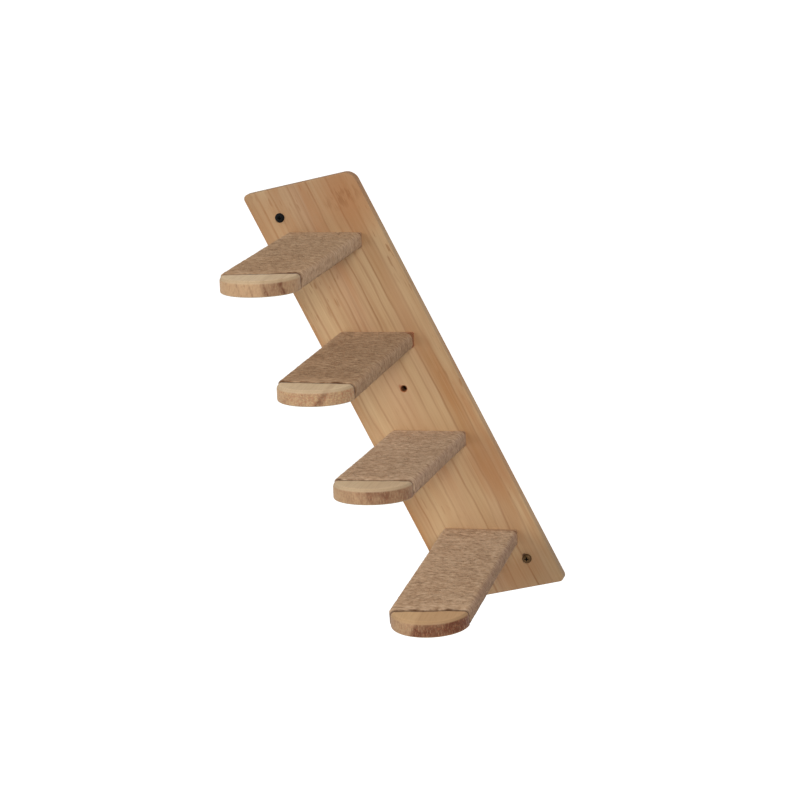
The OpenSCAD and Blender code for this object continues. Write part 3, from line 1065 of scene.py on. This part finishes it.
class STAIR_OT_windings(bpy.types.Operator):
    """Wind each step with jute twine"""

    bl_idname = "stair.windings"
    bl_label = "Jute windings"

    def execute(self, context):
        sizes, shades = settings(context)
        loop = twine_loop(sizes)
        for step in STEPS:
            name = f"jute_winding_{step}"
            finish = jute_material(f"jute_twine_{step}", step, sizes, shades, paleness=0.0)
            mesh = strand_mesh(name, [winding_run(step, sizes, loop)], sizes.twine, rings=2, material=finish)
            show_piece(mesh, name, [f"jute_wrap_{step}"], sharp=80)
        return {"FINISHED"}


# Shares of the loose fibres that lie on top, and on top or below; the rest lie on the sides
ON_TOP, TOP_OR_BELOW = 0.6, 0.8

# Loose fibres keep this far from the end of the winding, from the board and from the step's sides
NOSE_GAP, WALL_GAP, SIDE_GAP = 9 * MM, 1.5 * MM, 5 * MM

# Longest span on a side, usual drift along the step, depth of the root, and share lost towards the tip
SIDE_SPAN, FIBRE_DRIFT, FIBRE_ROOT, FIBRE_TAPER = 2.5 * MM, 1.0 * MM, 0.2 * MM, 0.5

# Rise of a fibre along its span before its tip, as a share of its lift
FIBRE_ARCH = ((0.0, 0.0), (0.3, 0.75), (0.7, 1.0))


def fibre_run(draw, place, sizes):
    """One loose fibre that lies along a turn and lifts off it."""
    wide = STEP_WIDTH / 2 + sizes.twine_proud
    high = STEP_THICKNESS / 2 + sizes.twine_proud
    along = draw.uniform(BAND_END + NOSE_GAP, BAND_START - WALL_GAP)
    span = draw.uniform(1.5, 6) * MM
    sense = draw.choice((-1, 1))
    pick = draw.random()
    if pick < TOP_OR_BELOW:
        up = 1 if pick < ON_TOP else -1
        flat = wide - SIDE_GAP
        base = Vector((draw.uniform(-flat, flat), along, up * high))
        out, way = Vector((0, 0, up)), Vector((sense, 0, 0))
        lift = draw.uniform(0.1, 0.9) * MM
    else:
        side = draw.choice((-1, 1))
        height = draw.uniform(-1.5, 1.5) * MM
        base = Vector((side * wide, along, height))
        out, way = Vector((side, 0, 0)), Vector((0, 0, sense))
        lift = draw.uniform(0.05, 0.4) * MM
        span = min(span, SIDE_SPAN)
    drift = Vector((0, draw.gauss(0, 1) * FIBRE_DRIFT, 0))
    tip_rise = draw.uniform(0.2, 1.2)
    run = []
    for far, rise in (*FIBRE_ARCH, (1.0, tip_rise)):
        point = base + way * span * far + out * (lift * rise - FIBRE_ROOT) + drift * far * far
        run.append((place @ point, 1.0 - FIBRE_TAPER * far))
    return run


class STAIR_OT_fibres(bpy.types.Operator):
    """Scatter loose fibres over each winding"""

    bl_idname = "stair.fibres"
    bl_label = "Jute fibres"

    def execute(self, context):
        sizes, shades = settings(context)
        for step in STEPS:
            finish = jute_material(f"jute_fibre_{step}", step, sizes, shades, paleness=0.2)
            draw = random.Random(step)
            place = step_place(step, sizes)
            runs = [fibre_run(draw, place, sizes) for _count in range(sizes.fibres)]
            name = f"jute_fibres_{step}"
            mesh = strand_mesh(name, runs, sizes.fibre, rings=0, material=finish)
            show_piece(mesh, name, [], sharp=80)
        return {"FINISHED"}


# Screws

# Cross recess: width, width of an arm and depth in shares of the head's radius, and share left at its floor
RECESS_WIDTH, RECESS_ARM, RECESS_DEPTH, RECESS_FLOOR = 1.25, 0.36, 0.5, 0.5

# Thread: its foot as a share of the core, half its width as a share of the pitch, and steps in a turn
THREAD_FOOT, THREAD_HALF, THREAD_STEPS = 0.92, 0.36, 16

# Core and thread of every screw, and shanks of the two kinds, as shares of the head's radius
CORE, CREST = 0.36, 0.49
STEP_SHANK, WALL_SHANK = 0.5, 0.45

# Length over which a shank narrows to the core, and radius of a screw's point
RUN_OUT = 1 * MM
POINT = 0.2 * MM

# Step screws: plain length below the neck, tip, end of the thread before the point, pitch, and head's rim
STEP_PLAIN, STEP_TIP, STEP_THREAD_END, STEP_PITCH = 9 * MM, 4 * MM, 3.5 * MM, 1.5 * MM
RIM_WIDTH, RIM_HEIGHT = 0.25 * MM, 0.2 * MM

# Wall screws: plain length behind the board, tip, end of the thread before the point, pitch, parts of a dome
WALL_PLAIN, WALL_TIP, WALL_THREAD_END, WALL_PITCH = 3 * MM, 5 * MM, 4 * MM, 1.6 * MM
DOME_PARTS = 10


def cross_cutter(width, arm, depth):
    """Cutter of a cross recess round the Z axis, which narrows towards its floor at the depth."""
    shape = bmesh.new()
    long, thin = width / 2, arm / 2
    outline = []
    for quarter in range(4):
        turn = Matrix.Rotation(quarter * math.pi / 2, 3, "Z")
        outline += [turn @ Vector(at) for at in ((long, -thin, 0), (long, thin, 0), (thin, thin, 0))]
    top = shape.faces.new([shape.verts.new(at) for at in outline])
    bmesh.ops.translate(shape, verts=shape.verts, vec=(0, 0, -depth))
    floor = verts_of(bmesh.ops.extrude_face_region(shape, geom=[top])["geom"])
    bmesh.ops.scale(shape, verts=floor, vec=(RECESS_FLOOR, RECESS_FLOOR, 1))
    bmesh.ops.translate(shape, verts=floor, vec=(0, 0, 2 * depth))
    return shape


def thread(core, crest, start, end, pitch):
    """A screw thread round the Z axis, as a spun three-cornered ridge."""
    shape = bmesh.new()
    foot = THREAD_FOOT * core
    half = THREAD_HALF * pitch
    corners = ((foot, 0, start - half), (crest, 0, start), (foot, 0, start + half))
    verts = [shape.verts.new(at) for at in corners]
    ridge = shape.faces.new(verts)
    turns = (end - start) / pitch
    steps = int(turns * THREAD_STEPS)
    bmesh.ops.spin(
        shape, geom=[ridge, *ridge.edges, *verts], cent=(0, 0, 0), axis=(0, 0, 1), angle=math.tau * turns,
        steps=steps, dvec=(0, 0, (end - start) / steps), use_merge=False, use_duplicate=False,
    )
    return shape


def shaft(shank, core, start, tip, long):
    """Outline of a screw's shaft, as (radius, z) points from its shank to its point."""
    return [(shank, start - RUN_OUT), (core, start), (core, long - tip), (POINT, long), (0, long)]


def screw_mesh(name, profile, head, crown, ridge, material, recess_material):
    """A screw along +Z from its (radius, z) profile, with a cross recess in its head and a thread."""
    cutter = cross_cutter(head * RECESS_WIDTH, head * RECESS_ARM, head * RECESS_DEPTH)
    bmesh.ops.translate(cutter, verts=cutter.verts, vec=(0, 0, crown))
    cross = mesh_of(cutter, "cross_cutter", recess_material)
    body = combine(mesh_of(turned(profile), name, material), cross, "DIFFERENCE")
    return combine(body, mesh_of(thread(*ridge), "screw_thread", material), "UNION")


def step_screw_mesh(name, material):
    """Countersunk screw, as long as the frame's."""
    head = (SCREW_HIGH.x - SCREW_LOW.x) / 2
    long = SCREW_HIGH.y - SCREW_LOW.y
    shank, core, crest = STEP_SHANK * head, CORE * head, CREST * head
    neck = head - shank
    start = neck + STEP_PLAIN
    profile = [(0, 0), (head - RIM_WIDTH, 0), (head, RIM_HEIGHT), (shank, neck)]
    profile += shaft(shank, core, start, STEP_TIP, long)
    ridge = (core, crest, start, long - STEP_THREAD_END, STEP_PITCH)
    return screw_mesh(name, profile, head, 0, ridge, material, material)


def wall_screw_mesh(name, material, recess_material):
    """Raised-head screw, with its head on z = 0 and as long as the frame's."""
    head = (WALL_SCREW_HIGH.x - WALL_SCREW_LOW.x) / 2
    crown = WALL_SCREW_LOW.y - BOARD_FACE
    long = WALL_SCREW_HIGH.y - BOARD_FACE
    shank, core, crest = WALL_SHANK * head, CORE * head, CREST * head
    start = -BOARD_FACE + WALL_PLAIN
    turns = [math.radians(90 - 90 * k / DOME_PARTS) for k in range(1, DOME_PARTS + 1)]
    dome = [(head * math.cos(turn), crown * math.sin(turn)) for turn in turns]
    profile = [(0, crown), *dome, (shank, 0), *shaft(shank, core, start, WALL_TIP, long)]
    ridge = (core, crest, start, long - WALL_THREAD_END, WALL_PITCH)
    return screw_mesh(name, profile, head, crown, ridge, material, recess_material)


class STAIR_OT_step_screws(bpy.types.Operator):
    """Drive two countersunk screws into each step from behind the board"""

    bl_idname = "stair.step_screws"
    bl_label = "Step screws"

    def execute(self, context):
        sizes, shades = settings(context)
        finish = metal_material("zinc_steel", shades)
        for step in STEPS:
            for side in SIDES:
                node = f"step_{step}_screw_{side}"
                at = middle(node)
                mesh = step_screw_mesh(f"zinc_{node}", finish)
                mesh.transform(facing((at.x, -sizes.head_sink, at.z), -1))
                show_piece(mesh, f"zinc_{node}", [node])
        return {"FINISHED"}


class STAIR_OT_wall_screws(bpy.types.Operator):
    """Put the two raised-head screws in the outer wall holes"""

    bl_idname = "stair.wall_screws"
    bl_label = "Wall screws"

    def execute(self, context):
        _sizes, shades = settings(context)
        black = metal_material("black_steel", shades)
        bronze = metal_material("bronze_steel", shades)
        # Painted shade for the cross recess of the bottom wall screw
        dark = metal_material("bronze_recess", shades)
        finishes = (("black_steel", black, black), ("bronze_steel", bronze, dark))
        for node, (slot, finish, recess) in zip(WALL_SCREWS, finishes):
            at = middle(node)
            mesh = wall_screw_mesh(f"{slot}_{node}", finish, recess)
            mesh.transform(facing((at.x, BOARD_FACE, at.z), 1))
            show_piece(mesh, f"{slot}_{node}", [node])
        return {"FINISHED"}


# Studio

# Camera: where it stands round the object, how it is rolled, and what it looks at
VIEW_AZIMUTH = math.radians(13.558)
VIEW_ELEVATION = math.radians(12.343)
VIEW_ROLL = math.radians(-2.367)
VIEW_DISTANCE = 2.0779
VIEW_TARGET = Vector((-5.55 * MM, 0, -10.62 * MM))
SENSOR = 36.0
FRAME_WIDTH = 800
FOCAL_PIXELS = 2847.4

# Floor: its height, half its width, its tone, and its glow where it is seen directly
FLOOR_LEVEL = -0.9
FLOOR_HALF = 40
FLOOR_TONE = (0.8, 0.8, 0.8)
FLOOR_GLOW = 0.95

# Strength of the world's light, and of the world where it is seen directly
WORLD_LIGHT, WORLD_SEEN = 0.3, 1.0

# Square lamps: name, place and power
LAMPS = (
    ("key_lamp", (0.95, -1.65, 1.1), 25.4),
    ("side_lamp", (-1.65, -0.95, 1.1), 14.3),
    ("front_lamp", (-1.1, -1.9, 0.0), 9.6),
)
LAMP_SIZE = 1.0


def seen_directly(tree):
    """1 for what the camera sees, also in a mirror or through glass, and 0 for light on other things."""
    path = tree.add("ShaderNodeLightPath").outputs
    seen = tree.sum("MAXIMUM", path["Is Camera Ray"], path["Is Glossy Ray"])
    return tree.sum("MAXIMUM", seen, path["Is Transmission Ray"])


def floor_material():
    """Pale floor that reads white in the light and keeps shadows."""
    tree = new_tree("studio_floor")
    glow = tree.sum("MULTIPLY", seen_directly(tree), FLOOR_GLOW)
    return tree.set(
        Base_Color=FLOOR_TONE, Roughness=0.9, Specular_IOR_Level=0.1, Emission_Color=(1, 1, 1),
        Emission_Strength=glow,
    )


def studio_world(world):
    """Even white light, seen by the camera as plain white."""
    tree = Tree(world)
    tree.nodes.clear()
    level = tree.spread(seen_directly(tree), 0.0, 1.0, WORLD_LIGHT, WORLD_SEEN)
    glow = tree.add("ShaderNodeBackground", {"Strength": level})
    tree.add("ShaderNodeOutputWorld", {"Surface": glow.outputs[0]})


def area_lamp(name, at, power):
    """Square lamp that looks at the object."""
    lamp = bpy.data.lights.new(name, "AREA")
    lamp.size = LAMP_SIZE
    lamp.energy = power
    holder = put(name, lamp)
    holder.location = at
    holder.rotation_euler = (VIEW_TARGET - Vector(at)).to_track_quat("-Z", "Y").to_euler()


def place_camera(scene):
    """Camera at the photograph's viewing angle, rolled as it was held."""
    back = Vector((
        math.sin(VIEW_AZIMUTH) * math.cos(VIEW_ELEVATION),
        -math.cos(VIEW_AZIMUTH) * math.cos(VIEW_ELEVATION),
        math.sin(VIEW_ELEVATION),
    ))
    right = Vector((math.cos(VIEW_AZIMUTH), math.sin(VIEW_AZIMUTH), 0))
    up = back.cross(right)
    rolled_right = math.cos(VIEW_ROLL) * right + math.sin(VIEW_ROLL) * up
    rolled_up = back.cross(rolled_right)
    lens = bpy.data.cameras.new("camera")
    lens.sensor_fit = "HORIZONTAL"
    lens.sensor_width = SENSOR
    lens.lens = FOCAL_PIXELS / FRAME_WIDTH * SENSOR
    turn = Matrix((rolled_right, rolled_up, back)).transposed().to_4x4()
    scene.camera = put("camera", lens)
    scene.camera.matrix_world = Matrix.Translation(VIEW_TARGET + VIEW_DISTANCE * back) @ turn


class STAIR_OT_studio(bpy.types.Operator):
    """Set up the floor, the lamps, the world and the camera"""

    bl_idname = "stair.studio"
    bl_label = "Studio"

    def execute(self, context):
        scene = context.scene
        scene.view_settings.view_transform = "Standard"
        shape = bmesh.new()
        ground = Matrix.Translation((0, 0, FLOOR_LEVEL))
        bmesh.ops.create_grid(shape, x_segments=1, y_segments=1, size=FLOOR_HALF, matrix=ground)
        floor = put("studio_floor", mesh_of(shape, "studio_floor", floor_material()))
        scene.world = scene.world or bpy.data.worlds.new("studio")
        studio_world(scene.world)
        for name, at, power in LAMPS:
            area_lamp(name, at, power)
        place_camera(scene)
        return {"FINISHED"}


class STAIR_PT_panel(bpy.types.Panel):
    """Lists the stair's pieces, sizes and colours"""

    bl_idname = "STAIR_PT_panel"
    bl_label = "Cat stair"
    bl_space_type = "VIEW_3D"
    bl_region_type = "UI"
    bl_category = "Cat stair"

    def draw(self, context):
        for operator in OPERATORS:
            self.layout.operator(operator.bl_idname)
        for group in settings(context):
            box = self.layout.box()
            for key in group.__annotations__:
                box.prop(group, key)


OPERATORS = (
    STAIR_OT_studio,
    STAIR_OT_back_board,
    STAIR_OT_steps,
    STAIR_OT_windings,
    STAIR_OT_fibres,
    STAIR_OT_step_screws,
    STAIR_OT_wall_screws,
)
CLASSES = (StairSizes, StairColours, *OPERATORS, STAIR_PT_panel)


def register():
    for cls in CLASSES:
        bpy.utils.register_class(cls)
    bpy.types.Scene.stair_sizes = PointerProperty(type=StairSizes)
    bpy.types.Scene.stair_colours = PointerProperty(type=StairColours)


def unregister():
    del bpy.types.Scene.stair_colours
    del bpy.types.Scene.stair_sizes
    for cls in reversed(CLASSES):
        bpy.utils.unregister_class(cls)


def main():
    """Builds every piece in order."""
    register()
    bpy.ops.stair.studio()
    bpy.ops.stair.back_board()
    bpy.ops.stair.steps()
    bpy.ops.stair.windings()
    bpy.ops.stair.fibres()
    bpy.ops.stair.step_screws()
    bpy.ops.stair.wall_screws()


if __name__ == "__main__":
    main()
